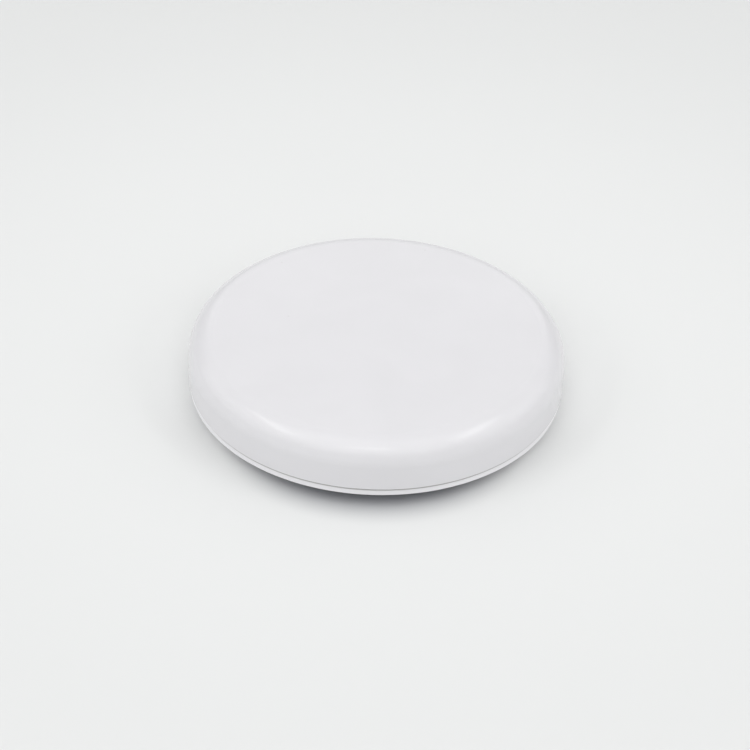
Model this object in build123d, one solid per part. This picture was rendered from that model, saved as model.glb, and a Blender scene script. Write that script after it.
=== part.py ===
from build123d import *
import os
from math import atan, cos, sin

# Water leak sensor: a round sealed puck that stands on three metal probes.
# Millimetres. The origin is on the floor under the centre, +Z is up and -Y is the front.

# Case outline
case_diameter = 80.0
crown_rise = 1.0
shoulder_inset = 5.2
shoulder_drop = 5.4
cover_wall = 2.0
cover_edge_chamfer = 0.15
seam_gap = 0.22
seam_depth = 0.6

# Base outline
floor_gap = 1.0
floor_wall = 2.0
lip_floor_gap = 3.0
lip_height = 1.4
lip_inset = 0.2
lip_flare = 0.2
lip_round = 0.35
slope_width = 5.8

# Rim of the base, with the groove of the case seal
rim_clearance = 0.2
rim_wall = 2.0
rim_height = 4.2
rim_chamfer = 0.4
case_seal_cord = 1.0
case_seal_rise = 1.2
seal_clearance = 0.05
key_width = 3.0
key_height = 1.2
key_clearance = 0.2

# Where the posts and feet stand: a circle for each kind, and angles from +X
third_turn_angle = 120
pillar_inset = 5.3
pillar_first_angle = 30
pillar_names = ("right", "left", "front")
probe_inset = 5.0
probe_first_angle = 90
probe_names = ("rear", "left", "right")
post_inset = 8.4
post_first_angle = 60
button_angle = 0
key_angle = 90
contact_angle = 180

# Case screws, their pillars and plugs
screw_radius = 1.1
screw_length = 7.5
screw_head_radius = 2.4
screw_head_height = 1.25
screw_clearance = 0.15
pilot_clearance = 0.05
pilot_spare = 1.0
pillar_radius = 2.9
pillar_draft = 0.25
pillar_boss_height = 2.2
plug_height = 0.85
plug_clearance = 0.02
recess_clearance = 0.3
drive_width = 0.6
drive_depth = 0.7
gusset_width = 1.2

# Stiffening ribs on the floor of the base
rib_width = 1.0
rib_height = 1.2

# Battery: a coin cell in a well, closed from below by a screwed door
cell_diameter = 24.5
cell_height = 5.0
cell_clearance = 0.4
cell_edge = 0.4
cell_cap_inset = 2.0
cell_cap_rise = 0.4
pad_height = 0.5
pad_inset = 1.5
well_wall = 2.0
well_spare = 0.7
shelf_height = 0.8
door_thickness = 1.6
door_gap = 0.2
door_chamfer = 0.3
skirt_wall = 1.8
skirt_height = 2.6
skirt_clearance = 0.3
skirt_room = 0.2
door_seal_cord = 1.3
door_land = 1.0
slot_width = 2.0
slot_depth = 0.9
slot_length = 14.0

# Probes
foot_radius = 3.0
foot_round = 0.45
probe_radius = 1.5
probe_clearance = 0.05
probe_boss_height = 1.6
probe_nut_height = 1.6
probe_nut_flats = 5.0
probe_end = 0.8
probe_seal_cord = 0.76
boss_wall = 1.7

# Button and the switch above it
button_radius = 3.0
button_height = 1.2
button_recess = 0.2
button_clearance = 0.1
button_stop_gap = 0.5
button_travel = 0.3
stem_radius = 1.8
stem_clearance = 0.05
stem_end = 0.6
guide_height = 3.1
stem_seal_cord = 0.64
clip_height = 0.4
clip_width = 1.7
clip_groove = 0.5
clip_play = 0.05
switch_width = 6.0
switch_height = 1.8
plunger_radius = 1.2
plunger_length = 1.4
plunger_gap = 0.05

# Circuit board and what stands on it
contact_room = 1.5
board_thickness = 1.0
component_room = 4.0
board_gap = 1.4
notch_clearance = 0.7
post_radius = 2.4
post_draft = 0.3
board_screw_radius = 0.95
board_screw_length = 5.0
board_head_radius = 1.9
board_head_height = 1.2
module_size = (15.0, 11.0, 0.8)
module_place = (-13.0, 13.0)
pad_pitch = 1.5
pad_radius = 0.35
shield_size = (10.0, 9.0, 1.8)
shield_wall = 0.2
shield_round = 0.5
antenna_length = 14.0
antenna_height = 2.6
antenna_strip = 1.1
antenna_edge = 3.9
capacitor_size = (7.3, 4.3, 2.0)
capacitor_tab = 1.3
capacitor_place = (13.0, 8.0)
coil_size = (6.0, 6.0, 2.8)
coil_core_radius = 2.4
coil_place = (17.0, -4.0)
diode_size = (2.7, 1.6, 1.1)
diode_place = (17.0, -10.5)
transistor_size = (2.9, 1.3, 1.0)
transistor_place = (-15.0, -8.0)
lead_length = 0.5
lead_pitch = 0.95
lead_width = 0.4
chip_length = 1.6
chip_width = 0.8
resistor_height = 0.45
resistor_row = (8.0, 16.5)
resistor_count = 5
capacitor_height = 0.8
capacitor_row = (-17.5, -1.0)
capacitor_count = 4
chip_pitch = 1.8
chip_cap_length = 0.3
chip_cap_rise = 0.04

# Status light under a thin spot of the cover
light_offset = 6.4
led_size = (1.6, 0.8, 0.6)
guide_gap = 0.3
light_guide_radius = 1.5
light_guide_flare = 2.0
light_window_wall = 0.9
socket_wall = 0.8
socket_height = 2.0

# Sounder glued under the cover
sounder_offset = -12.5
sounder_radius = 10.0
sounder_plate = 0.25
crystal_radius = 7.0
crystal_thickness = 0.2
sounder_drop = 1.2
sounder_ring_width = 1.0

# How far a cut or a joined bar runs past the face that it meets
overrun = 1.0

# Sheet metal of the leaf contacts
leaf_thickness = 0.25
leaf_width = 2.4
leaf_bend = 0.5
leaf_tab = 2.2
leaf_gap = 0.03
leaf_slot_clearance = 0.5
contact_rise = 1.2
contact_hook = 0.6
contact_foot_gap = 0.3
sag_flat = 1.0

# Angles, worked out from the values above
pillar_angles = {name: pillar_first_angle + step * third_turn_angle for step, name in enumerate(pillar_names)}
probe_angles = {name: probe_first_angle + step * third_turn_angle for step, name in enumerate(probe_names)}
post_angles = [post_first_angle + step * third_turn_angle for step in range(3)]

# Radii, worked out from the values above
case_radius = case_diameter / 2
lip_radius = case_radius - lip_inset
flat_radius = case_radius - slope_width
cover_bore = case_radius - cover_wall
rim_outer = cover_bore - rim_clearance
rim_inner = rim_outer - rim_wall
pillar_circle = rim_inner - pillar_inset
probe_circle = flat_radius - probe_inset
board_radius = rim_inner - board_gap
post_circle = board_radius - post_inset
well_bore = cell_diameter / 2 + cell_clearance
well_outer = well_bore + well_wall
skirt_inner = well_bore + cell_clearance
skirt_outer = skirt_inner + skirt_wall
skirt_bore = skirt_outer + skirt_clearance
door_seal_radius = skirt_bore + seal_clearance + door_seal_cord / 2
seal_pocket = door_seal_radius + door_seal_cord / 2 + seal_clearance
door_radius = seal_pocket + door_land
boss_outer = door_radius + door_gap + boss_wall
recess_radius = screw_head_radius + recess_clearance
guide_bore = stem_radius + stem_clearance
button_bore = button_radius + button_clearance

# Levels above the floor
base_low = floor_gap
floor_top = base_low + floor_wall
lip_top = lip_floor_gap + lip_height
side_low = lip_top + seam_gap
rim_top = lip_top + rim_height
door_top = base_low + door_thickness
pocket_top = door_top + door_seal_cord + seal_clearance
skirt_top = door_top + skirt_height
shelf_low = skirt_top + skirt_room
shelf_top = shelf_low + shelf_height
cell_low = door_top + pad_height
cell_top = cell_low + cell_height
well_top = cell_top + well_spare
board_low = cell_top + contact_room
board_top = board_low + board_thickness
case_height = board_top + component_room + cover_wall
side_top = case_height - crown_rise - shoulder_drop
screw_head_low = base_low + plug_height + recess_clearance / 3
screw_seat = screw_head_low + screw_head_height
pillar_low = floor_top + pillar_boss_height
probe_boss_top = floor_top + probe_boss_height
probe_nut_top = probe_boss_top + probe_nut_height
probe_top = probe_nut_top + probe_end
button_low = base_low + button_recess
button_top = button_low + button_height
pocket_ceiling = button_top + button_stop_gap
guide_top = pocket_ceiling + guide_height
clip_low = guide_top + clip_play
clip_top = clip_low + clip_height
stem_top = clip_top + stem_end
plunger_low = stem_top + plunger_gap
plunger_top = plunger_low + plunger_length
switch_low = board_low - switch_height
light_guide_low = board_top + led_size[2] + guide_gap
sounder_seat = case_height - cover_wall - sounder_drop
plate_low = sounder_seat - sounder_plate
crystal_low = plate_low - crystal_thickness

ON_FLOOR = (Align.CENTER, Align.CENTER, Align.MIN)
OUTWARD = (Align.MIN, Align.CENTER, Align.MIN)


def turned(outline):
    """Turn an outline, drawn as radius and height, about the Z axis."""
    return revolve(Plane.XZ * make_face(outline), Axis.Z)


def post(radius, low, high):
    return Pos(0, 0, low) * Cylinder(radius, high - low, align=ON_FLOOR)


def drafted_post(radius, root_radius, tip, root):
    """A moulded post that widens from its tip to its root, which may be above or below the tip."""
    low, high = min(tip, root), max(tip, root)
    low_radius, high_radius = (radius, root_radius) if tip < root else (root_radius, radius)
    return Pos(0, 0, low) * Cone(low_radius, high_radius, high - low, align=ON_FLOOR)


def ring(inner, outer, low, high):
    return post(outer, low, high) - post(inner, low, high)


def block(size, low):
    return Pos(0, 0, low) * Box(*size, align=ON_FLOOR)


def bar(start, end, width, low, high):
    """A straight bar along X, from one radius to another."""
    return Pos(start, 0, low) * Box(end - start, width, high - low, align=OUTWARD)


def around(shape, circle, angle):
    """Place a shape on a circle about the Z axis, its own X axis pointing outwards."""
    return Rot(0, 0, angle) * Pos(circle, 0, 0) * shape


def leaf(path, width):
    """Bend a strip of sheet metal along a path, drawn as X and height."""
    strip = offset(FilletPolyline(*path, radius=leaf_bend), amount=leaf_thickness, side=Side.LEFT)
    return extrude(Plane.XZ * make_face(strip), amount=width / 2, both=True)


def dome_line(inset):
    """Side, shoulder and crown of the cover's outer surface, moved inwards by the inset."""
    radius = case_radius - inset
    shoulder = case_radius - shoulder_inset
    crown_edge = case_height - crown_rise - inset
    crown_slope = atan(2 * crown_rise / shoulder)
    roundness = 0.55
    pull_up = roundness * (crown_edge - side_top)
    pull_out = roundness * (radius - shoulder)
    rounding = Bezier(
        (radius, side_top),
        (radius, side_top + pull_up),
        (shoulder + pull_out * cos(crown_slope), crown_edge - pull_out * sin(crown_slope)),
        (shoulder, crown_edge),
    )
    apex = case_height - inset
    crown = Bezier((shoulder, crown_edge), (shoulder / 2, apex), (0, apex))
    return [rounding, crown]


def dome_solid(inset, low):
    radius = case_radius - inset
    axis_and_side = Polyline((0, case_height - inset), (0, low), (radius, low), (radius, side_top))
    return turned([axis_and_side, *dome_line(inset)])


def cover_shell():
    """The cover without its inner features, with the step that leaves the seam open."""
    step = case_radius - seam_depth
    edge = Polyline(
        (cover_bore, side_top),
        (cover_bore, lip_top),
        (step, lip_top),
        (step, side_low),
        (case_radius - cover_edge_chamfer, side_low),
        (case_radius, side_low + cover_edge_chamfer),
        (case_radius, side_top),
    )
    axis = Line((0, case_height), (0, case_height - cover_wall))
    return turned([edge, *dome_line(0), axis, *dome_line(cover_wall)])


def light_guide_seat():
    return case_height - light_window_wall


def top_cover():
    inside = Part()
    holes = Part()
    pilot_top = screw_seat + screw_length + pilot_spare
    for angle in pillar_angles.values():
        pillar = drafted_post(pillar_radius, pillar_radius + pillar_draft, pillar_low, case_height)
        inside += around(pillar, pillar_circle, angle)
        gusset = bar(0, case_radius - pillar_circle, gusset_width, board_low, case_height)
        inside += around(gusset, pillar_circle, angle)
        holes += around(post(screw_radius + pilot_clearance, pillar_low, pilot_top), pillar_circle, angle)
    light = Pos(0, light_offset, 0)
    socket = light_guide_radius + pilot_clearance
    socket_low = case_height - cover_wall - socket_height
    inside += light * post(socket + socket_wall, socket_low, case_height)
    holes += light * post(socket, socket_low, light_guide_seat())
    sounder = ring(sounder_radius - sounder_ring_width, sounder_radius, sounder_seat, case_height)
    inside += Pos(0, sounder_offset, 0) * sounder
    key_low = rim_top - key_height + key_clearance
    key = bar(rim_inner, case_radius, key_width - 2 * key_clearance, key_low, side_top)
    inside += Rot(0, 0, key_angle) * key
    return cover_shell() + (inside & dome_solid(cover_wall / 2, floor_top)) - holes


def base_pan():
    """Floor, sloping underside, lip and rim of the base, before its details."""
    lip_arc = CenterArc((lip_radius - lip_round, lip_floor_gap + lip_round), lip_round, -90, 90)
    under = Polyline(
        (0, floor_top),
        (0, base_low),
        (flat_radius, base_low),
        (lip_radius - lip_round, lip_floor_gap),
    )
    upper = Polyline(
        (lip_radius, lip_floor_gap + lip_round),
        (lip_radius - lip_flare, lip_top),
        (rim_outer, lip_top),
        (rim_outer, rim_top - rim_chamfer),
        (rim_outer - rim_chamfer, rim_top),
        (rim_inner, rim_top),
        (rim_inner, floor_top),
        (0, floor_top),
    )
    return turned([under, lip_arc, upper])


def battery_well():
    """What the base adds for the battery: a threaded boss, a shelf and the wall round the cell."""
    boss = post(boss_outer, base_low, shelf_top) + post(well_outer, shelf_top, well_top)
    width = leaf_width + 2 * leaf_slot_clearance
    slot = bar(well_bore - cell_clearance, well_outer + overrun, width, shelf_top, well_top)
    return boss - Rot(0, 0, contact_angle) * slot


def battery_opening():
    hollow = post(door_radius + door_gap, 0, door_top)
    hollow += post(seal_pocket, door_top, pocket_top)
    hollow += post(skirt_bore, pocket_top, shelf_low)
    return hollow + post(well_bore, shelf_low, well_top)


def seal_groove_low():
    return lip_top + case_seal_rise


def base_shell():
    solid = base_pan() + battery_well()
    holes = battery_opening()
    groove_top = seal_groove_low() + case_seal_cord + 2 * seal_clearance
    holes += ring(rim_outer - case_seal_cord, case_radius, seal_groove_low(), groove_top)
    key_slot = bar(rim_inner - overrun, case_radius, key_width, rim_top - key_height, rim_top)
    holes += Rot(0, 0, key_angle) * key_slot
    rib = bar(boss_outer - overrun, rim_inner + overrun, rib_width, floor_top, floor_top + rib_height)
    for angle in pillar_angles.values():
        solid += Rot(0, 0, angle) * rib
        solid += around(post(pillar_radius, floor_top, pillar_low), pillar_circle, angle)
        recess = post(recess_radius, 0, screw_seat)
        holes += around(recess + post(screw_radius + screw_clearance, 0, pillar_low), pillar_circle, angle)
    for angle in probe_angles.values():
        solid += Rot(0, 0, angle) * rib
        solid += around(post(probe_radius + boss_wall, floor_top, probe_boss_top), probe_circle, angle)
        pocket = post(probe_seal_outer() + pilot_clearance, 0, probe_seal_top())
        holes += around(pocket + post(probe_radius + probe_clearance, 0, probe_boss_top), probe_circle, angle)
    for angle in post_angles:
        stand = drafted_post(post_radius, post_radius + post_draft, board_low, floor_top)
        solid += around(stand, post_circle, angle)
        pilot_low = board_top - board_screw_length - pilot_spare
        pilot = post(board_screw_radius + pilot_clearance, pilot_low, board_low)
        holes += around(pilot, post_circle, angle)
    solid += around(post(button_bore + boss_wall, floor_top, guide_top), probe_circle, button_angle)
    button_hole = post(button_bore, 0, pocket_ceiling) + post(guide_bore, 0, guide_top)
    holes += around(button_hole, probe_circle, button_angle)
    return solid - holes


def case_seal():
    middle = seal_groove_low() + seal_clearance + case_seal_cord / 2
    return Pos(0, 0, middle) * Torus(rim_outer - case_seal_cord / 2 + seal_clearance, case_seal_cord / 2)


def cross_drive(low):
    """Cross recess for a screwdriver, cut upwards from a level."""
    arm = block((2 * screw_radius, drive_width, drive_depth), low)
    return arm + Rot(0, 0, 90) * arm


def case_screw():
    head = post(screw_head_radius, screw_head_low, screw_seat)
    head = chamfer(head.edges().sort_by(Axis.Z)[0], screw_head_height / 4)
    return head + post(screw_radius, screw_seat, screw_seat + screw_length) - cross_drive(screw_head_low)


def case_screws():
    return [around(case_screw(), pillar_circle, angle) for angle in pillar_angles.values()]


def screw_plug():
    plug = post(recess_radius - plug_clearance, base_low, base_low + plug_height)
    return chamfer(plug.edges().sort_by(Axis.Z)[0], plug_height / 5)


def board_screw():
    head = post(board_head_radius, board_top, board_top + board_head_height)
    head = fillet(head.edges().sort_by(Axis.Z)[-1], board_head_height / 2)
    shank = post(board_screw_radius, board_top - board_screw_length, board_top)
    return head + shank - cross_drive(board_top + board_head_height - drive_depth)


def board_screws():
    return [around(board_screw(), post_circle, angle) for angle in post_angles]


def coin_cell():
    radius = cell_diameter / 2
    cap = radius - cell_cap_inset
    outline = Polyline(
        (0, cell_low),
        (radius - cell_edge, cell_low),
        (radius, cell_low + cell_edge),
        (radius, cell_top - 2 * cell_edge),
        (radius - cell_edge, cell_top - cell_cap_rise),
        (cap + cell_edge, cell_top - cell_cap_rise),
        (cap + cell_edge, cell_top - 2 * cell_cap_rise),
        (cap, cell_top - 2 * cell_cap_rise),
        (cap - cell_edge, cell_top),
        (0, cell_top),
        close=True,
    )
    return turned(outline)


def cell_pad():
    return post(cell_diameter / 2 - pad_inset, door_top, cell_low)


def coin_slot():
    """A slot with a round bottom, as deep as asked in the middle and as long at the face."""
    half = slot_length / 2
    coin_radius = (half**2 + slot_depth**2) / (2 * slot_depth)
    coin = Rot(90, 0, 0) * Cylinder(coin_radius, slot_width)
    return Pos(0, 0, base_low + slot_depth - coin_radius) * coin


def battery_door():
    flange = post(door_radius, base_low, door_top)
    flange = chamfer(flange.edges().sort_by(Axis.Z)[0], door_chamfer)
    skirt = ring(skirt_inner, skirt_outer, door_top, skirt_top)
    return flange + skirt - coin_slot()


def door_seal():
    middle = door_top + (seal_clearance + door_seal_cord) / 2
    return Pos(0, 0, middle) * Torus(door_seal_radius, door_seal_cord / 2)


def battery_contact_positive():
    """Leaf from the board, down a slot of the well, that touches the rim of the cell."""
    touch = cell_diameter / 2 + leaf_gap
    path = (
        (well_outer + leaf_tab, board_low),
        (well_bore + well_wall / 2, board_low),
        (touch, shelf_top + contact_rise),
        (touch + contact_hook, shelf_top + contact_foot_gap),
    )
    return Rot(0, 0, contact_angle) * leaf(path, leaf_width)


def battery_contact_negative():
    """Leaf bridge under the board, with its sagging middle on the cap of the cell."""
    end = cell_diameter / 4
    low = cell_top + leaf_gap
    sag_top = low + leaf_thickness
    half = [(end + leaf_tab, board_low), (end, board_low), (sag_flat, sag_top)]
    return leaf(half + [(-x, z) for x, z in reversed(half)], leaf_width)


def probe_pin():
    foot = post(foot_radius, 0, base_low)
    foot = fillet(foot.edges().sort_by(Axis.Z)[0], foot_round)
    shank = post(probe_radius, base_low, probe_top)
    shank = chamfer(shank.edges().sort_by(Axis.Z)[-1], probe_end / 3)
    return foot + shank


def probe_seal_top():
    return base_low + probe_seal_cord + probe_clearance


def probe_seal_outer():
    return probe_radius + probe_seal_cord + 2 * probe_clearance


def probe_seal():
    middle = base_low + (probe_seal_cord + probe_clearance) / 2
    return Pos(0, 0, middle) * Torus(probe_radius + probe_clearance + probe_seal_cord / 2, probe_seal_cord / 2)


def probe_nuts():
    hexagon = RegularPolygon(probe_nut_flats / 2, 6, major_radius=False)
    nut = Pos(0, 0, probe_boss_top) * extrude(hexagon, probe_nut_height)
    nut -= post(probe_radius + leaf_gap, 0, probe_nut_top)
    return [around(nut, probe_circle, angle) for angle in probe_angles.values()]


def contact_leaf(start, end, width):
    """Leaf from a face of the board to a piece that it presses on, at X and Y zero."""
    rise = end - start
    way = rise / abs(rise)
    touch = end - way * (leaf_gap + leaf_thickness)
    path = [(-2 * leaf_tab, start), (-leaf_tab, start), (0, touch), (leaf_tab / 2, touch - way * leaf_tab / 3)]
    if rise < 0:
        return leaf([(-x, z) for x, z in path], width)
    return leaf(path, width)


def probe_spring():
    return contact_leaf(board_low, probe_top, leaf_width)


def button():
    cap = post(button_radius, button_low, button_top)
    cap = fillet(cap.edges().sort_by(Axis.Z)[0], button_height / 4)
    stem = post(stem_radius, button_top, stem_top)
    stem -= ring(stem_radius - stem_seal_cord, guide_bore, *stem_seal_span())
    stem -= ring(stem_radius - clip_groove, guide_bore, clip_low, clip_top)
    return cap + stem


def stem_seal_span():
    """Bottom and top of the groove that holds the seal of the button's stem."""
    middle = (pocket_ceiling + guide_top) / 2
    half = stem_seal_cord / 2 + seal_clearance
    return middle - half, middle + half


def button_seal():
    low, high = stem_seal_span()
    return Pos(0, 0, (low + high) / 2) * Torus(stem_radius - stem_seal_cord / 2, stem_seal_cord / 2)


def button_clip():
    inner = stem_radius - clip_groove + leaf_gap
    clip = ring(inner, inner + clip_width, clip_low + leaf_gap / 2, clip_top - leaf_gap / 2)
    return clip - bar(0, inner + 2 * clip_width, 1.5 * inner, clip_low, clip_top)


def switch_body():
    body = block((switch_width, switch_width, switch_height), switch_low)
    body = chamfer(body.edges().filter_by(Axis.Z), switch_width / 12)
    room = plunger_top + button_travel + plunger_gap
    return body - post(plunger_radius + stem_clearance, switch_low, room)


def switch_plunger():
    return post(plunger_radius, plunger_low, plunger_top)


def circuit_board():
    board = post(board_radius, board_low, board_top)
    notch_radius = pillar_radius + notch_clearance
    notch = post(notch_radius, board_low, board_top)
    notch += bar(0, case_radius - pillar_circle, 2 * notch_radius, board_low, board_top)
    for angle in pillar_angles.values():
        board -= around(notch, pillar_circle, angle)
    for angle in post_angles:
        board -= around(post(board_screw_radius + screw_clearance, board_low, board_top), post_circle, angle)
    return board


def radio_module():
    """Small board with half-round solder pads along its two long edges."""
    length, depth, thickness = module_size
    module = block(module_size, board_top)
    pads = int((length - 2 * pad_pitch) / pad_pitch)
    for place in GridLocations(pad_pitch, depth, pads, 2):
        module -= place * post(pad_radius, board_top, board_top + thickness)
    return Pos(*module_place) * module


def radio_shield():
    low = board_top + module_size[2]
    length, depth, height = shield_size
    can = block(shield_size, low)
    can = fillet(can.edges().filter_by(Axis.Z), shield_round)
    room = (length - 2 * shield_wall, depth - 2 * shield_wall, height - shield_wall)
    return Pos(*module_place) * (can - block(room, low))


def antenna():
    """Stamped strip on edge, with a feed leg and a ground leg."""
    half = antenna_length / 2
    high = board_top + antenna_height
    feed = -half + 3 * antenna_strip
    strip = Polyline(
        (-half, board_top),
        (-half, high),
        (half, high),
        (half, high - antenna_strip),
        (feed + antenna_strip, high - antenna_strip),
        (feed + antenna_strip, board_top),
        (feed, board_top),
        (feed, high - antenna_strip),
        (-half + antenna_strip, high - antenna_strip),
        (-half + antenna_strip, board_top),
        close=True,
    )
    plate = extrude(Plane.XZ * make_face(strip), amount=leaf_thickness / 2, both=True)
    return Pos(0, board_radius - antenna_edge, 0) * plate


def tank_capacitor():
    length, depth, height = capacitor_size
    body = block((length, depth, height), board_top)
    body = chamfer(body.edges().group_by(Axis.Z)[-1], height / 8)
    groove = block((leaf_thickness, depth, leaf_thickness), board_top)
    for side in (-1, 1):
        body -= Pos(side * (length / 2 - capacitor_tab), 0, 0) * groove
    return Pos(*capacitor_place) * body


def step_up_coil():
    body = block(coil_size, board_top)
    body = chamfer(body.edges().filter_by(Axis.Z), coil_size[0] / 8)
    top = board_top + coil_size[2]
    gap = ring(coil_core_radius, coil_core_radius + 2 * leaf_thickness, top - leaf_thickness, top)
    return Pos(*coil_place) * (body - gap)


def lead(size, side, place):
    """Flat lead of a small part, from its end down on the board."""
    start = size[0] / 2
    end = start + lead_length
    strip = bar(start - lead_length / 2, end, lead_width, board_top, board_top + leaf_thickness)
    return Pos(0, place, 0) * Rot(0, 0, side) * strip


def boost_diode():
    body = chamfer(block(diode_size, board_top).edges().group_by(Axis.Z)[-1], diode_size[2] / 8)
    return Pos(*diode_place) * (body + lead(diode_size, 0, 0) + lead(diode_size, 180, 0))


def driver_transistor():
    """Three-leaded part, with two leads on one long side and one on the other."""
    length, width, height = transistor_size
    body = chamfer(block(transistor_size, board_top).edges().group_by(Axis.Z)[-1], height / 8)
    across = (width, length, height)
    for place, side in ((-lead_pitch, 180), (lead_pitch, 180), (0, 0)):
        body += Rot(0, 0, -90) * lead(across, side, place)
    return Pos(*transistor_place) * body


def chip(height):
    """Chip part: a block with a slightly raised metal cap over each end."""
    size = (chip_length - 2 * chip_cap_length, chip_width - 2 * chip_cap_rise, height - chip_cap_rise)
    body = block(size, board_top)
    for side in (-1, 1):
        cap = block((chip_cap_length, chip_width, height), board_top)
        body += Pos(side * (chip_length - chip_cap_length) / 2, 0, 0) * cap
    return body


def chip_row(height, place, count):
    return [Pos(*place) * spot * Rot(0, 0, 90) * chip(height) for spot in GridLocations(chip_pitch, 1, count, 1)]


def chip_resistors():
    return chip_row(resistor_height, resistor_row, resistor_count)


def chip_capacitors():
    return chip_row(capacitor_height, capacitor_row, capacitor_count)


def status_led():
    return Pos(0, light_offset, 0) * block(led_size, board_top)


def light_guide():
    flare_height = light_guide_flare - light_guide_radius
    outline = Polyline(
        (0, light_guide_low),
        (light_guide_flare, light_guide_low),
        (light_guide_flare, light_guide_low + flare_height / 2),
        (light_guide_radius, light_guide_low + flare_height),
        (light_guide_radius, light_guide_seat()),
        (0, light_guide_seat()),
        close=True,
    )
    return Pos(0, light_offset, 0) * turned(outline)


def sounder_disc():
    return Pos(0, sounder_offset, 0) * post(sounder_radius, plate_low, sounder_seat)


def sounder_crystal():
    return Pos(0, sounder_offset, 0) * post(crystal_radius, crystal_low, plate_low)


def sounder_spring_centre():
    return Pos(0, sounder_offset, 0) * contact_leaf(board_top, crystal_low, leaf_width)


def sounder_spring_rim():
    touch = (sounder_radius + crystal_radius) / 2
    spring = contact_leaf(board_top, plate_low, leaf_width / 2)
    return Pos(0, sounder_offset, 0) * Rot(0, 0, 90) * Pos(0, touch, 0) * spring


pieces = {
    "top_cover": top_cover(),
    "base_shell": base_shell(),
    "case_seal": case_seal(),
    "case_screws": case_screws(),
    "circuit_board": circuit_board(),
    "board_screws": board_screws(),
    "radio_module": radio_module(),
    "radio_shield": radio_shield(),
    "antenna": antenna(),
    "tank_capacitor": tank_capacitor(),
    "step_up_coil": step_up_coil(),
    "boost_diode": boost_diode(),
    "driver_transistor": driver_transistor(),
    "chip_resistors": chip_resistors(),
    "chip_capacitors": chip_capacitors(),
    "status_led": status_led(),
    "light_guide": light_guide(),
    "sounder_disc": sounder_disc(),
    "sounder_crystal": sounder_crystal(),
    "sounder_spring_centre": sounder_spring_centre(),
    "sounder_spring_rim": sounder_spring_rim(),
    "coin_cell": coin_cell(),
    "cell_pad": cell_pad(),
    "battery_contact_positive": battery_contact_positive(),
    "battery_contact_negative": battery_contact_negative(),
    "battery_door": battery_door(),
    "door_seal": door_seal(),
    "probe_nuts": probe_nuts(),
    "button": around(button(), probe_circle, button_angle),
    "button_seal": around(button_seal(), probe_circle, button_angle),
    "button_clip": around(button_clip(), probe_circle, button_angle),
    "switch_body": around(switch_body(), probe_circle, button_angle),
    "switch_plunger": around(switch_plunger(), probe_circle, button_angle),
}
for name, angle in pillar_angles.items():
    pieces["screw_plug_" + name] = around(screw_plug(), pillar_circle, angle)
for name, angle in probe_angles.items():
    pieces["probe_" + name] = around(probe_pin(), probe_circle, angle)
    pieces["probe_seal_" + name] = around(probe_seal(), probe_circle, angle)
    pieces["probe_spring_" + name] = around(probe_spring(), probe_circle, angle)

os.makedirs("parts", exist_ok=True)
for name, piece in pieces.items():
    if isinstance(piece, list):
        piece = Compound(children=piece)
    export_step(piece, "parts/" + name + ".step")
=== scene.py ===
from math import cos, pi, radians, sin

import bmesh
import bpy
from mathutils import Matrix, Quaternion, Vector


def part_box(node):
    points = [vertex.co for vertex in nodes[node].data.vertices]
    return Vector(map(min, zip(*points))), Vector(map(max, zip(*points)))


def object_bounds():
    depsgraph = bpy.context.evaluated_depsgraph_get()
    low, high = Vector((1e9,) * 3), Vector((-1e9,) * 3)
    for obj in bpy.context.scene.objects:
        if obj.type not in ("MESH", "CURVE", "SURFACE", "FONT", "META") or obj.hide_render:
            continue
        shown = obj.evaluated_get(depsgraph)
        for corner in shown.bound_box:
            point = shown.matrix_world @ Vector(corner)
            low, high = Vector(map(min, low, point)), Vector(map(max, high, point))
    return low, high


# Water leak sensor: the finish of its moulded case, metal feet, seals and inner parts, in a plain
# studio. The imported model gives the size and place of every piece. All lengths are in metres.

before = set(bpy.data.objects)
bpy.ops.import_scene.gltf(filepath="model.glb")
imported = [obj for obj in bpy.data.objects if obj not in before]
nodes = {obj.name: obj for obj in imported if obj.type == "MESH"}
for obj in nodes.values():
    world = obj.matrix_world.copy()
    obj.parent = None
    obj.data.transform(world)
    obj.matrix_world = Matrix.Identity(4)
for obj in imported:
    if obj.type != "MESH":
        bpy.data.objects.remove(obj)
cad_low, cad_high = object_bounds()

MILLIMETRE = 0.001
case_radius = (cad_high.x - cad_low.x) / 2

# The photograph's view of the case
photo_width = 750
view_elevation = radians(36.14)
view_roll = radians(1.79)
view_distance = 16 * case_radius
pixels_per_radius = 186.7
seam_centre_pixel = (375.9, 374.2)
seam_height = 4.62 * MILLIMETRE
sensor_width = 36

# Studio floor, which sweeps up into a low wall
floor_radius = 1.7
sweep_radius = 0.6
wall_height = 0.5
sweep_steps = 24
round_steps = 96
floor_tone = (0.797, 0.803, 0.8)
floor_roughness = 0.85
floor_drift = 0.995
floor_patch = 0.12

# The floor's painted pool of light round the case
pool_centre = (0.0, 0.04, 0.0)
pool_start = 0.05
pool_end = 0.17
pool_fall = 0.94

# The floor's painted shadow under the front of the case
shade_centre = (0.0, -0.45 * case_radius, 0.0)
shade_narrowing = (0.86, 1.0, 1.0)
shade_start = 0.4 * case_radius
shade_end = 0.71 * case_radius
shade_tone = (0.285, 0.291, 0.315)

# The floor's painted light at each side of the case
glow_aside = 1.03 * case_radius
glow_behind = 0.2 * case_radius
glow_narrowing = 0.45
glow_start = 0.08 * case_radius
glow_end = 0.3 * case_radius
glow_rise = 1.08

# Light from all round
sky_tone = (0.996, 1.0, 1.0)
sky_strength = 0.703

# Texture of the moulded parts
spark_grain = 0.28 * MILLIMETRE
spark_depth = 0.004 * MILLIMETRE
coarse_grain = 0.1 * MILLIMETRE
moulded_edge = 0.12 * MILLIMETRE
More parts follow.
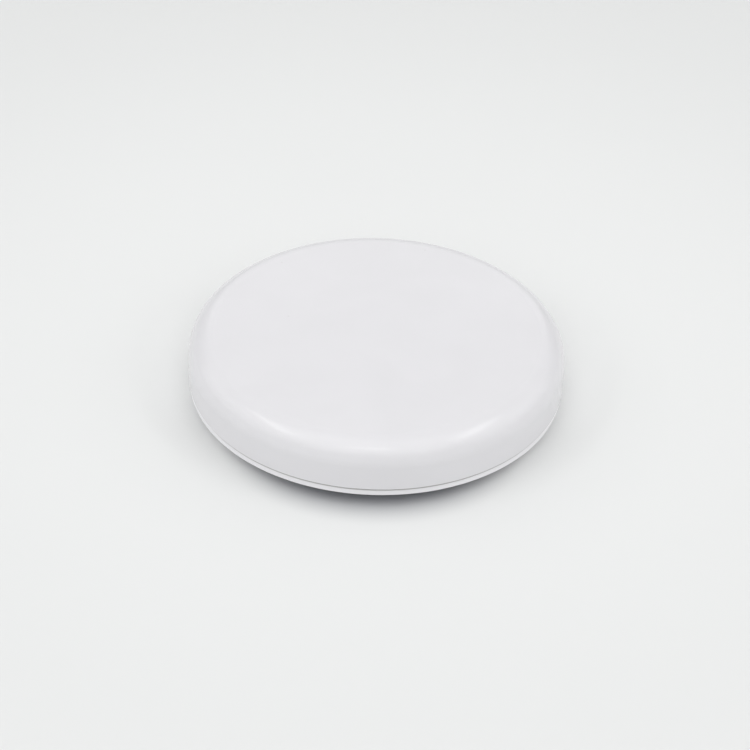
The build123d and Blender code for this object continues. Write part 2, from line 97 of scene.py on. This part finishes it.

# Where painted shade darkens the joint between cover and base
seam_low = 4.1 * MILLIMETRE
seam_low_fade = 0.22 * MILLIMETRE
seam_high = 4.66 * MILLIMETRE
seam_high_fade = 0.03 * MILLIMETRE
seam_mouth = case_radius - 0.03 * MILLIMETRE
seam_mouth_fade = 0.06 * MILLIMETRE
seam_root = case_radius - 0.9 * MILLIMETRE
seam_root_fade = 0.4 * MILLIMETRE

# Tones of what settles on the parts, and of the painted shade in the joint
dust_tone = (0.42, 0.4, 0.38)
talc_tone = (0.5, 0.49, 0.47)
joint_shade_tone = (0.42, 0.413, 0.408)

# Tones of the parts
cover_white = (0.737, 0.729, 0.751)
base_white = (0.82, 0.812, 0.833)
button_grey = (0.42, 0.43, 0.445)
plug_white = (0.66, 0.655, 0.67)
seal_black = (0.016, 0.016, 0.017)
chip_black = (0.018, 0.018, 0.02)
amber_tone = (0.62, 0.33, 0.04)
lacquer_tone = (0.012, 0.11, 0.045)
lacquer_drift = (0.01, 0.085, 0.035)
track_tone = (0.03, 0.2, 0.08)
resistor_tone = (0.02, 0.02, 0.022)
capacitor_tone = (0.36, 0.24, 0.13)
tinned_tone = (0.66, 0.655, 0.64)
led_tint = (0.95, 0.93, 0.82)
guide_tint = (0.95, 0.97, 0.97)
foam_tone = (0.008, 0.008, 0.009)
foam_wall_tone = (0.03, 0.03, 0.032)

# Tones of the metals, bright and dull
probe_gold = ((0.86, 0.68, 0.36), (0.78, 0.6, 0.3))
leaf_gold = ((0.82, 0.66, 0.4), (0.7, 0.52, 0.3))
zinc_steel = ((0.58, 0.585, 0.6), (0.46, 0.465, 0.48))
cell_nickel = ((0.68, 0.67, 0.65), (0.6, 0.59, 0.57))
shield_tin = ((0.7, 0.7, 0.69), (0.6, 0.6, 0.59))
disc_brass = ((0.8, 0.62, 0.3), (0.74, 0.56, 0.27))
crystal_silver = ((0.78, 0.77, 0.74), (0.66, 0.64, 0.6))

# Share of a small chip's length that is bare between its tinned ends
chip_body_share = 0.62
chip_cap_fade = 0.01 * MILLIMETRE

# Sockets of a Mix node that mixes colours
COLOUR_A = 6
COLOUR_B = 7
COLOUR_RESULT = 2


def fill(tree, node, inputs):
    """Set a node's inputs. Each takes a value, or the output of another node."""
    for socket, value in inputs.items():
        if isinstance(value, bpy.types.NodeSocket):
            tree.links.new(value, node.inputs[socket])
        else:
            node.inputs[socket].default_value = value


def add(tree, kind, inputs, **settings):
    """Add a shader node, with its settings and inputs."""
    node = tree.nodes.new("ShaderNode" + kind)
    for name, value in settings.items():
        setattr(node, name, value)
    fill(tree, node, inputs)
    return node


def maths(tree, operation, *values, clamp=False):
    inputs = dict(enumerate(values))
    return add(tree, "Math", inputs, operation=operation, use_clamp=clamp).outputs[0]


def vector_maths(tree, operation, *values):
    """Vector Math node. A length, distance or dot product is a number, the rest are vectors."""
    node = add(tree, "VectorMath", dict(enumerate(values)), operation=operation)
    gives_number = operation in ("DISTANCE", "DOT_PRODUCT", "LENGTH")
    return node.outputs["Value" if gives_number else "Vector"]


def per_metre(tree, size):
    """Scale of a pattern whose features have this size."""
    return maths(tree, "DIVIDE", 1.0, size)


def between(tree, value, start, end, low=0.0, high=1.0, smooth=True):
    """Turn a value that runs from start to end into one that runs from low to high."""
    inputs = {"Value": value, "From Min": start, "From Max": end, "To Min": low, "To Max": high}
    kind = "SMOOTHSTEP" if smooth else "LINEAR"
    return add(tree, "MapRange", inputs, interpolation_type=kind).outputs["Result"]


def noise(tree, vector, scale, detail=2.0, roughness=0.5, distortion=0.0):
    inputs = {
        "Vector": vector,
        "Scale": scale,
        "Detail": detail,
        "Roughness": roughness,
        "Distortion": distortion,
    }
    return add(tree, "TexNoise", inputs).outputs["Fac"]


def parts_of(tree, vector):
    return add(tree, "SeparateXYZ", {0: vector}).outputs


def true_normal(tree):
    return add(tree, "NewGeometry", {}).outputs["Normal"]


def mixed_colour(tree, mask, first, second):
    inputs = {0: mask, COLOUR_A: first, COLOUR_B: second}
    return add(tree, "Mix", inputs, data_type="RGBA").outputs[COLOUR_RESULT]


def rgba(colour, factor=1.0):
    return tuple(channel * factor for channel in colour) + (1.0,)


def effect(name, inputs, outputs):
    """Start an effect that several finishes share, with named inputs and outputs."""
    tree = bpy.data.node_groups.new(name, "ShaderNodeTree")
    for name, (kind, value) in inputs.items():
        kind = "NodeSocket" + kind
        socket = tree.interface.new_socket(name, in_out="INPUT", socket_type=kind)
        if value is not None:
            socket.default_value = value
    for name, kind in outputs.items():
        tree.interface.new_socket(name, in_out="OUTPUT", socket_type="NodeSocket" + kind)
    given = tree.nodes.new("NodeGroupInput").outputs
    result = tree.nodes.new("NodeGroupOutput").inputs
    return tree, given, result


def put_out(tree, result, **values):
    for socket, value in values.items():
        tree.links.new(value, result[socket])


def spark_grain_effect():
    """Fine pebbled texture that a spark-eroded mould leaves on plastic."""
    inputs = {"Vector": ("Vector", None), "Grain": ("Float", spark_grain)}
    tree, given, result = effect("spark_grain", inputs, {"Height": "Float", "Gloss": "Float"})
    fine_scale, fine_share, pebble_share = 1.7, 0.6, 0.7
    spot = given["Vector"]
    scale = per_metre(tree, given["Grain"])
    cells = {"Vector": spot, "Scale": scale, "Smoothness": 0.6}
    pebbles = add(tree, "TexVoronoi", cells, feature="SMOOTH_F1").outputs["Distance"]
    fine = noise(tree, spot, maths(tree, "MULTIPLY", scale, fine_scale), detail=3.0, roughness=0.6)
    pebbles = maths(tree, "MULTIPLY", pebbles, pebble_share)
    height = maths(tree, "MULTIPLY_ADD", fine, fine_share, pebbles)
    put_out(tree, result, Height=height, Gloss=between(tree, height, start=0.25, end=0.75))
    return tree


def tone_drift_effect():
    """Slow, cloudy change of tone, as resin shows where it flowed and cooled."""
    inputs = {
        "Vector": ("Vector", None),
        "Colour": ("Color", (0.8, 0.8, 0.8, 1.0)),
        "Other colour": ("Color", (0.7, 0.7, 0.7, 1.0)),
        "Patch": ("Float", 0.03),
    }
    tree, given, result = effect("tone_drift", inputs, {"Colour": "Color"})
    scale = per_metre(tree, given["Patch"])
    cloud = noise(tree, given["Vector"], scale, detail=3.0, roughness=0.55, distortion=0.4)
    mask = between(tree, cloud, start=0.35, end=0.65)
    tone = mixed_colour(tree, mask, given["Colour"], given["Other colour"])
    put_out(tree, result, Colour=tone)
    return tree


def handling_effect():
    """Faint greasy patches and rubbed streaks where hands and cloths have been."""
    inputs = {"Vector": ("Vector", None), "Patch": ("Float", 0.012)}
    tree, given, result = effect("handling_marks", inputs, {"Smears": "Float", "Rubs": "Float"})
    rub_turn, rub_stretch, rub_scale = 0.7, 0.12, 9.0
    spot = given["Vector"]
    scale = per_metre(tree, given["Patch"])
    smears = noise(tree, spot, scale, detail=5.0, roughness=0.62, distortion=1.2)
    stretching = {"Vector": spot, "Rotation": (0, 0, rub_turn), "Scale": (rub_stretch, 1.0, 1.0)}
    streaks = add(tree, "Mapping", stretching).outputs[0]
    scale = maths(tree, "MULTIPLY", scale, rub_scale)
    rubs = noise(tree, streaks, scale, detail=4.0, roughness=0.7)
    smears = between(tree, smears, start=0.45, end=0.72)
    put_out(tree, result, Smears=smears, Rubs=between(tree, rubs, start=0.56, end=0.74))
    return tree


def edge_wear_effect():
    """Mask of the edges, where a bevelled normal leaves the true one."""
    inputs = {"Vector": ("Vector", None), "Patch": ("Float", 0.002)}
    tree, given, result = effect("edge_wear", inputs, {"Edges": "Float"})
    soft = add(tree, "Bevel", {"Radius": moulded_edge}, samples=4).outputs["Normal"]
    turn = vector_maths(tree, "DOT_PRODUCT", soft, true_normal(tree))
    turn = between(tree, turn, start=0.995, end=0.8)
    scale = per_metre(tree, given["Patch"])
    broken = noise(tree, given["Vector"], scale, detail=4.0, roughness=0.65)
    broken = between(tree, broken, start=0.35, end=0.7)
    put_out(tree, result, Edges=maths(tree, "MULTIPLY", turn, broken, clamp=True))
    return tree


def painted_seam_shade_effect():
    """Painted shade in the narrow joint of cover and base, behind the outer face."""
    tree, given, result = effect("painted_seam_shade", {"Vector": ("Vector", None)}, {"Dirt": "Float"})
    parts = parts_of(tree, given["Vector"])
    squared = maths(tree, "POWER", parts["Y"], 2.0)
    squared = maths(tree, "MULTIPLY_ADD", parts["X"], parts["X"], squared)
    reach = maths(tree, "SQRT", squared)
    mouth = between(tree, reach, seam_mouth, seam_mouth - seam_mouth_fade)
    root = between(tree, reach, seam_root, seam_root + seam_root_fade)
    above = between(tree, parts["Z"], seam_low, seam_low + seam_low_fade)
    below = between(tree, parts["Z"], seam_high, seam_high - seam_high_fade)
    inside = maths(tree, "MULTIPLY", mouth, root)
    level = maths(tree, "MULTIPLY", above, below)
    put_out(tree, result, Dirt=maths(tree, "MULTIPLY", inside, level))
    return tree


def dust_effect():
    """Fine dust on faces that look up: a film in loose patches, and a few single specks."""
    inputs = {"Vector": ("Vector", None), "Patch": ("Float", 0.01), "Speck": ("Float", 0.007)}
    tree, given, result = effect("settled_dust", inputs, {"Film": "Float", "Specks": "Float"})
    spot = given["Vector"]
    lying = between(tree, parts_of(tree, true_normal(tree))["Z"], start=0.2, end=0.9)
    patches = noise(tree, spot, per_metre(tree, given["Patch"]), detail=4.0)
    patches = between(tree, patches, start=0.4, end=0.75)
    cells = {"Vector": spot, "Scale": per_metre(tree, given["Speck"])}
    single = add(tree, "TexVoronoi", cells).outputs["Distance"]
    single = between(tree, single, start=0.04, end=0.025)
    film = maths(tree, "MULTIPLY", lying, patches)
    put_out(tree, result, Film=film, Specks=maths(tree, "MULTIPLY", lying, single))
    return tree


def lathe_effect():
    """Fine rings round a turned piece's own axis."""
    inputs = {"Vector": ("Vector", None), "Pitch": ("Float", 0.0001)}
    tree, given, result = effect("lathe_rings", inputs, {"Height": "Float"})
    wobble_scale, wobble_turns = 900.0, 1.5
    flat = vector_maths(tree, "MULTIPLY", given["Vector"], (1.0, 1.0, 0.0))
    turns = maths(tree, "DIVIDE", vector_maths(tree, "LENGTH", flat), given["Pitch"])
    wobble = noise(tree, given["Vector"], wobble_scale)
    turns = maths(tree, "MULTIPLY_ADD", wobble, wobble_turns, turns)
    put_out(tree, result, Height=maths(tree, "PINGPONG", turns, 1.0))
    return tree


def rolled_sheet_effect():
    """Long fine lines that rolling leaves along sheet metal."""
    inputs = {"Vector": ("Vector", None), "Line": ("Float", 0.00015)}
    tree, given, result = effect("rolled_lines", inputs, {"Height": "Float", "Gloss": "Float"})
    line_stretch = 0.04
    along = vector_maths(tree, "MULTIPLY", given["Vector"], (line_stretch, 1.0, 1.0))
    lines = noise(tree, along, per_metre(tree, given["Line"]), detail=3.0, roughness=0.6)
    put_out(tree, result, Height=lines, Gloss=between(tree, lines, start=0.35, end=0.65))
    return tree


effects = {
    "grain": spark_grain_effect(),
    "drift": tone_drift_effect(),
    "handling": handling_effect(),
    "edges": edge_wear_effect(),
    "dust": dust_effect(),
    "seam": painted_seam_shade_effect(),
    "lathe": lathe_effect(),
    "rolled": rolled_sheet_effect(),
}


def place(tree, name, inputs):
    """Put a shared effect into a finish, with this finish's own values."""
    node = tree.nodes.new("ShaderNodeGroup")
    node.node_tree = effects[name]
    fill(tree, node, inputs)
    return node.outputs


def start_finish(name, **shader_values):
    """A new material with its shader and the object's own coordinates."""
    made = bpy.data.materials.new(name)
    made.use_nodes = True
    tree = made.node_tree
    shader = tree.nodes["Principled BSDF"]
    for socket, value in shader_values.items():
        shader.inputs[socket.replace("_", " ")].default_value = value
    spot = add(tree, "TexCoord", {}).outputs["Object"]
    return made, tree, shader, spot


def feed(tree, shader, **patterns):
    """Link a finish's patterns to the shader's sockets."""
    for socket, value in patterns.items():
        tree.links.new(value, shader.inputs[socket.replace("_", " ")])


def relief(tree, height, depth):
    """Normal of a fine pattern that stands up by this depth."""
    inputs = {"Height": height, "Distance": depth, "Strength": 1.0}
    return add(tree, "Bump", inputs).outputs["Normal"]


def cloudy(tree, spot, colour, other, patch):
    """Tone that drifts between two colours, in patches of this size."""
    inputs = {"Vector": spot, "Colour": colour, "Other colour": other, "Patch": patch}
    return place(tree, "drift", inputs)["Colour"]


def pebbled(tree, spot, grain, dull, glossy):
    """Height of the moulded grain, and a roughness that runs from dull in it to glossy on it."""
    pebbles = place(tree, "grain", {"Vector": spot, "Grain": grain})
    rough = between(tree, pebbles["Gloss"], 0.0, 1.0, dull, glossy, smooth=False)
    return pebbles["Height"], rough


def moulded_plastic(name, colour, roughness, grain=spark_grain, drift=0.985, wear=1.03, seam=False):
    """Satin moulded plastic: pebbled grain, cloudy tone, smears, rubbed edges, a little dust."""
    film_share, lint_share = 0.02, 0.16
    grain_spread, smear_gloss, rub_gloss, edge_gloss = 0.06, -0.09, -0.07, -0.1
    made, tree, shader, spot = start_finish(name, IOR=1.58, Specular_IOR_Level=0.5)
    tone = cloudy(tree, spot, rgba(colour), rgba(colour, drift), patch=0.022)
    edges = place(tree, "edges", {"Vector": spot})["Edges"]
    tone = mixed_colour(tree, edges, tone, rgba(colour, wear))
    dust = place(tree, "dust", {"Vector": spot})
    film = maths(tree, "MULTIPLY", dust["Film"], film_share)
    lint = maths(tree, "MULTIPLY", dust["Specks"], lint_share)
    tone = mixed_colour(tree, maths(tree, "MAXIMUM", film, lint), tone, rgba(dust_tone))
    # Painted shade in the joint between cover and base
    if seam:
        joint_shade = place(tree, "seam", {"Vector": spot})["Dirt"]
        tone = mixed_colour(tree, joint_shade, tone, rgba(joint_shade_tone))
    marks = place(tree, "handling", {"Vector": spot})
    dull, glossy = (1 + grain_spread) * roughness, (1 - grain_spread) * roughness
    height, rough = pebbled(tree, spot, grain, dull, glossy)
    rough = maths(tree, "MULTIPLY_ADD", marks["Smears"], smear_gloss * roughness, rough)
    rough = maths(tree, "MULTIPLY_ADD", marks["Rubs"], rub_gloss * roughness, rough)
    rough = maths(tree, "MULTIPLY_ADD", edges, edge_gloss * roughness, rough)
    rough = maths(tree, "ADD", rough, film, clamp=True)
    normal = relief(tree, height, spark_depth)
    feed(tree, shader, Base_Color=tone, Roughness=rough, Normal=normal)
    return made


def moulded_rubber(name, colour, roughness, drift=1.25):
    """Rubber with a dull skin, a bloom of talc and a faint flow grain."""
    grain, depth, gloss_spread, bloom_share = 0.12 * MILLIMETRE, 0.004 * MILLIMETRE, 0.06, 0.2
    made, tree, shader, spot = start_finish(name, IOR=1.5, Specular_IOR_Level=0.35)
    tone = cloudy(tree, spot, rgba(colour), rgba(colour, drift), patch=0.003)
    dust = place(tree, "dust", {"Vector": spot, "Patch": 0.002, "Speck": 0.004})
    bloom = maths(tree, "MAXIMUM", dust["Film"], dust["Specks"])
    bloom = maths(tree, "MULTIPLY", bloom, bloom_share)
    tone = mixed_colour(tree, bloom, tone, rgba(talc_tone))
    height, rough = pebbled(tree, spot, grain, roughness + gloss_spread, roughness - gloss_spread)
    rough = maths(tree, "ADD", rough, bloom, clamp=True)
    feed(tree, shader, Base_Color=tone, Roughness=rough, Normal=relief(tree, height, depth))
    return made


def worn_metal(name, tones, pattern, roughness, centre=(0.0, 0.0, 0.0)):
    """Metal with lathe rings or rolled lines, brighter rubbed edges and duller patches."""
    line, depth, edge_rise = 0.1 * MILLIMETRE, 0.003 * MILLIMETRE, 1.12
    smear_dull, rub_dull, edge_gloss = 0.12, 0.08, -0.08
    colour, dull = tones
    made, tree, shader, spot = start_finish(name, Metallic=1.0)
    moving = {"Vector": spot, "Location": tuple(-value for value in centre)}
    centred = add(tree, "Mapping", moving).outputs[0]
    tone = cloudy(tree, spot, rgba(colour), rgba(dull), patch=0.0025)
    edges = place(tree, "edges", {"Vector": spot, "Patch": 0.0008})["Edges"]
    tone = mixed_colour(tree, edges, tone, rgba(colour, edge_rise))
    marks = place(tree, "handling", {"Vector": spot, "Patch": 0.004})
    rough = maths(tree, "MULTIPLY_ADD", marks["Smears"], smear_dull, roughness)
    rough = maths(tree, "MULTIPLY_ADD", marks["Rubs"], rub_dull, rough)
    rough = maths(tree, "MULTIPLY_ADD", edges, edge_gloss, rough, clamp=True)
    spacing = "Pitch" if pattern == "lathe" else "Line"
    height = place(tree, pattern, {"Vector": centred, spacing: line})["Height"]
    feed(tree, shader, Base_Color=tone, Roughness=rough, Normal=relief(tree, height, depth))
    return made


def solder_mask():
    """Green lacquer over copper tracks: the tracks stand up a little and show lighter."""
    track_depth, smear_dull, lacquer_roughness = 0.03 * MILLIMETRE, 0.1, 0.34
    made, tree, shader, spot = start_finish(
        "solder_mask", IOR=1.52, Coat_Weight=0.25, Coat_Roughness=0.2
    )
    runs = {
        "Vector": spot,
        "Scale": 260.0,
        "Mortar Size": 0.03,
        "Mortar Smooth": 0.2,
        "Brick Width": 2.6,
        "Row Height": 0.17,
    }
    tracks = add(tree, "TexBrick", runs, offset=0.37, squash=1.6).outputs["Fac"]
    area = between(tree, noise(tree, spot, scale=150.0, detail=0.0), start=0.5, end=0.51)
    tracks = maths(tree, "MULTIPLY", tracks, area)
    lacquer = cloudy(tree, spot, rgba(lacquer_tone), rgba(lacquer_drift), patch=0.008)
    tone = mixed_colour(tree, tracks, lacquer, rgba(track_tone))
    marks = place(tree, "handling", {"Vector": spot, "Patch": 0.006})
    rough = maths(tree, "MULTIPLY_ADD", marks["Smears"], smear_dull, lacquer_roughness)
    normal = relief(tree, tracks, track_depth)
    feed(tree, shader, Base_Color=tone, Roughness=rough, Normal=normal)
    return made


def clear_acrylic(name, tint, roughness):
    """Clear resin with faint flow lines in its skin."""
    flow_line, depth = 0.8 * MILLIMETRE, 0.002 * MILLIMETRE
    made, tree, shader, spot = start_finish(
        name, IOR=1.49, Transmission_Weight=1.0, Roughness=roughness, Base_Color=rgba(tint)
    )
    height = place(tree, "rolled", {"Vector": spot, "Line": flow_line})["Height"]
    feed(tree, shader, Normal=relief(tree, height, depth))
    return made


def end_capped_chip(name, body, row):
    """Small chip parts in one row: fired bodies, tinned along both sides of the row."""
    grain, depth, body_drift, cap_gloss = 0.05 * MILLIMETRE, 0.003 * MILLIMETRE, 1.3, -0.12
    made, tree, shader, spot = start_finish(name, IOR=1.5)
    low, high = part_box(row)
    cap_start = chip_body_share * (high.y - low.y) / 2
    across = maths(tree, "SUBTRACT", parts_of(tree, spot)["Y"], (low.y + high.y) / 2)
    across = maths(tree, "ABSOLUTE", across)
    tinned = between(tree, across, cap_start, cap_start + chip_cap_fade)
    tone = cloudy(tree, spot, rgba(body), rgba(body, body_drift), patch=0.0006)
    tone = mixed_colour(tree, tinned, tone, rgba(tinned_tone))
    height, rough = pebbled(tree, spot, grain, dull=0.6, glossy=0.45)
    rough = maths(tree, "MULTIPLY_ADD", tinned, cap_gloss, rough, clamp=True)
    normal = relief(tree, height, depth)
    feed(tree, shader, Base_Color=tone, Metallic=tinned, Roughness=rough, Normal=normal)
    return made


def silvered_ceramic():
    """Fired ceramic under a thin silver film with a dull mottled skin."""
    grain, depth = 0.08 * MILLIMETRE, 0.004 * MILLIMETRE
    made, tree, shader, spot = start_finish("silvered_ceramic", Metallic=0.85)
    bright, dull = crystal_silver
    tone = cloudy(tree, spot, rgba(bright), rgba(dull), patch=0.003)
    height, rough = pebbled(tree, spot, grain, dull=0.55, glossy=0.4)
    feed(tree, shader, Base_Color=tone, Roughness=rough, Normal=relief(tree, height, depth))
    return made


def cell_foam():
    """Dark open foam: small cells with lighter walls."""
    depth = 0.08 * MILLIMETRE
    made, tree, shader, spot = start_finish("cell_foam", IOR=1.4, Specular_IOR_Level=0.2)
    cells = {"Vector": spot, "Scale": 2200.0}
    walls = add(tree, "TexVoronoi", cells, feature="DISTANCE_TO_EDGE").outputs["Distance"]
    walls = between(tree, walls, start=0.12, end=0.02)
    tone = mixed_colour(tree, walls, rgba(foam_tone), rgba(foam_wall_tone))
    rough = between(tree, walls, 0.0, 1.0, low=0.95, high=0.7, smooth=False)
    feed(tree, shader, Base_Color=tone, Roughness=rough, Normal=relief(tree, walls, depth))
    return made


def middle(node):
    low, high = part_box(node)
    return (low + high) / 2


def dress(material, *names):
    """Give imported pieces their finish."""
    for name in names:
        mesh = nodes[name].data
        mesh.materials.clear()
        mesh.materials.append(material)


def dress_case():
    cover = moulded_plastic("cover_satin_white", cover_white, roughness=0.23, seam=True)
    dress(cover, "top_cover")
    base = moulded_plastic("base_satin_white", base_white, roughness=0.42, seam=True)
    dress(base, "base_shell")
    dress(moulded_plastic("door_satin_white", cover_white, roughness=0.42), "battery_door")
    dress(moulded_plastic("button_satin_grey", button_grey, roughness=0.5), "button")
    plug = moulded_rubber("plug_white_rubber", plug_white, roughness=0.62, drift=1.04)
    dress(plug, *(name for name in nodes if name.startswith("screw_plug_")))


def dress_seals():
    ring = moulded_rubber("seal_black_rubber", seal_black, roughness=0.5)
    dress(ring, *(name for name in nodes if name.endswith("_seal") or "_seal_" in name))
    dress(cell_foam(), "cell_pad")


def dress_metal():
    for name in ("probe_rear", "probe_left", "probe_right"):
        gilt = worn_metal("gilt_" + name, probe_gold, "lathe", roughness=0.22, centre=middle(name))
        dress(gilt, name)
    leaf = worn_metal("gilt_spring_leaf", leaf_gold, "rolled", roughness=0.3)
    dress(leaf, "antenna", "battery_contact_positive", "battery_contact_negative")
    dress(leaf, *(name for name in nodes if "_spring_" in name))
    steel = worn_metal("zinc_steel", zinc_steel, "rolled", roughness=0.36)
    dress(steel, "case_screws", "board_screws", "probe_nuts", "button_clip")
    dress(worn_metal("tinned_sheet", shield_tin, "rolled", roughness=0.4), "radio_shield")
    axis = middle("coin_cell")
    cell = worn_metal("nickel_cell", cell_nickel, "lathe", roughness=0.26, centre=axis)
    dress(cell, "coin_cell")
    axis = middle("sounder_disc")
    disc = worn_metal("sounder_brass", disc_brass, "lathe", roughness=0.31, centre=axis)
    dress(disc, "sounder_disc")


def dress_board():
    dress(solder_mask(), "circuit_board", "radio_module")
    black = moulded_plastic(
        "chip_black", chip_black, roughness=0.55, grain=coarse_grain, drift=1.2, wear=1.6
    )
    dress(black, "step_up_coil", "boost_diode", "driver_transistor")
    dress(black, "switch_body", "switch_plunger")
    amber = moulded_plastic(
        "capacitor_amber", amber_tone, roughness=0.48, grain=coarse_grain, drift=0.93, wear=1.1
    )
    dress(amber, "tank_capacitor")
    dress(clear_acrylic("led_resin", led_tint, roughness=0.12), "status_led")
    dress(clear_acrylic("clear_acrylic", guide_tint, roughness=0.05), "light_guide")
    dress(silvered_ceramic(), "sounder_crystal")
    dress(end_capped_chip("resistor_chip", resistor_tone, "chip_resistors"), "chip_resistors")
    dress(end_capped_chip("capacitor_chip", capacitor_tone, "chip_capacitors"), "chip_capacitors")


def finish_mesh(shape, name):
    """Turn a bmesh into an object at the origin."""
    mesh = bpy.data.meshes.new(name)
    bmesh.ops.recalc_face_normals(shape, faces=shape.faces)
    shape.to_mesh(mesh)
    shape.free()
    made = bpy.data.objects.new(name, mesh)
    bpy.context.scene.collection.objects.link(made)
    return made


def studio_floor():
    """A pale floor that sweeps up into a low wall all round."""
    shape = bmesh.new()
    points = [Vector((0, 0, 0)), Vector((floor_radius, 0, 0))]
    for step in range(1, sweep_steps + 1):
        turn = pi / 2 * step / sweep_steps
        out, rise = sweep_radius * sin(turn), sweep_radius * (1 - cos(turn))
        points.append(Vector((floor_radius + out, 0, rise)))
    points.append(points[-1] + Vector((0, 0, wall_height)))
    line = [shape.verts.new(point) for point in points]
    edges = [shape.edges.new(pair) for pair in zip(line, line[1:])]
    bmesh.ops.spin(
        shape,
        geom=line + edges,
        cent=(0, 0, 0),
        axis=(0, 0, 1),
        angle=2 * pi,
        steps=round_steps,
        use_merge=True,
    )
    bmesh.ops.remove_doubles(shape, verts=shape.verts, dist=MILLIMETRE)
    floor = finish_mesh(shape, "studio_floor")
    for face in floor.data.polygons:
        face.use_smooth = True
    if floor.data.polygons[0].normal.z < 0:
        floor.data.flip_normals()
    floor.data.materials.append(floor_paint())


def floor_paint():
    """Pale matt board, with painted light round the case and at its sides, and a painted shadow
    under its front.
    """
    made, tree, shader, spot = start_finish(
        "pale_matt_board", IOR=1.45, Specular_IOR_Level=0.2, Roughness=floor_roughness
    )
    tone = cloudy(tree, spot, rgba(floor_tone), rgba(floor_tone, floor_drift), floor_patch)

    # Painted pool of light: the floor's tone falls away outside it
    reach = vector_maths(tree, "DISTANCE", spot, pool_centre)
    outside = between(tree, reach, pool_start, pool_end)
    tone = mixed_colour(tree, outside, tone, rgba(floor_tone, pool_fall))

    # Painted shadow under the front of the case
    drawn_in = vector_maths(tree, "MULTIPLY", spot, shade_narrowing)
    reach = vector_maths(tree, "DISTANCE", drawn_in, shade_centre)
    outside = between(tree, reach, shade_start, shade_end)
    tone = mixed_colour(tree, outside, rgba(shade_tone), tone)

    # Painted light on the floor at each side of the case
    parts = parts_of(tree, spot)
    across = maths(tree, "SUBTRACT", maths(tree, "ABSOLUTE", parts["X"]), glow_aside)
    along = maths(tree, "SUBTRACT", parts["Y"], glow_behind)
    along = maths(tree, "MULTIPLY", along, glow_narrowing)
    squared = maths(tree, "MULTIPLY_ADD", across, across, maths(tree, "MULTIPLY", along, along))
    inside = between(tree, maths(tree, "SQRT", squared), glow_end, glow_start)
    tone = mixed_colour(tree, inside, tone, rgba(floor_tone, glow_rise))

    feed(tree, shader, Base_Color=tone)
    return made


def softbox(name, azimuth, elevation, distance, width, height, power, roll=0):
    """Lamp with a wide soft face. Azimuth 0 is the viewer's side, and 90 the right."""
    turn = radians(azimuth)
    rise = radians(elevation)
    way = Vector((sin(turn) * cos(rise), -cos(turn) * cos(rise), sin(rise)))
    lamp = bpy.data.lights.new(name, "AREA")
    lamp.shape = "RECTANGLE"
    lamp.size = width
    lamp.size_y = height
    lamp.energy = power
    made = bpy.data.objects.new(name, lamp)
    made.location = way * distance
    aim = way.to_track_quat("Z", "Y") @ Quaternion((0, 0, 1), radians(roll))
    made.rotation_euler = aim.to_euler()
    made.visible_camera = False
    bpy.context.scene.collection.objects.link(made)


def studio_light():
    world = bpy.data.worlds.new("studio_air")
    world.use_nodes = True
    air = world.node_tree.nodes["Background"]
    air.inputs["Color"].default_value = rgba(sky_tone)
    air.inputs["Strength"].default_value = sky_strength
    bpy.context.scene.world = world
    softbox(
        "front_softbox", azimuth=0, elevation=57, distance=0.9, width=1.6, height=1.1, power=3.5
    )
    softbox(
        "front_strip", azimuth=-2, elevation=50.5, distance=0.9, width=0.3, height=0.025, power=0.24
    )
    softbox(
        "left_softbox",
        azimuth=-75,
        elevation=49,
        distance=0.9,
        width=0.46,
        height=0.12,
        power=0.58,
        roll=-22,
    )
    softbox(
        "right_softbox",
        azimuth=80,
        elevation=51,
        distance=0.9,
        width=0.48,
        height=0.14,
        power=0.6,
        roll=22,
    )
    for side, azimuth in (("left", -90), ("right", 90)):
        softbox(
            side + "_low_softbox",
            azimuth=azimuth,
            elevation=24,
            distance=1.0,
            width=1.2,
            height=0.6,
            power=1.3,
        )
    softbox(
        "back_low_softbox",
        azimuth=180,
        elevation=22,
        distance=1.0,
        width=0.8,
        height=0.35,
        power=0.45,
    )
    bpy.context.scene.view_settings.view_transform = "Standard"


def camera():
    """The photograph's camera, from the seam's centre and the case's radius in its pixels."""
    forward = Vector((0, cos(view_elevation), -sin(view_elevation)))
    level = Vector((1, 0, 0))
    upward = level.cross(forward)
    right = cos(view_roll) * level + sin(view_roll) * upward
    up = cos(view_roll) * upward - sin(view_roll) * level
    metres_per_pixel = case_radius / pixels_per_radius
    aside = (seam_centre_pixel[0] - photo_width / 2) * metres_per_pixel
    below = (seam_centre_pixel[1] - photo_width / 2) * metres_per_pixel
    spot = Vector((0, 0, seam_height)) - aside * right + below * up - view_distance * forward
    lens = bpy.data.cameras.new("photo_camera")
    lens.sensor_width = sensor_width
    lens.lens = sensor_width * view_distance / (photo_width * metres_per_pixel)
    made = bpy.data.objects.new("photo_camera", lens)
    turn = Matrix((right, up, -forward)).transposed().to_4x4()
    made.matrix_world = Matrix.Translation(spot) @ turn
    bpy.context.scene.collection.objects.link(made)
    bpy.context.scene.camera = made


dress_case()
dress_seals()
dress_metal()
dress_board()
studio_floor()
studio_light()
camera()
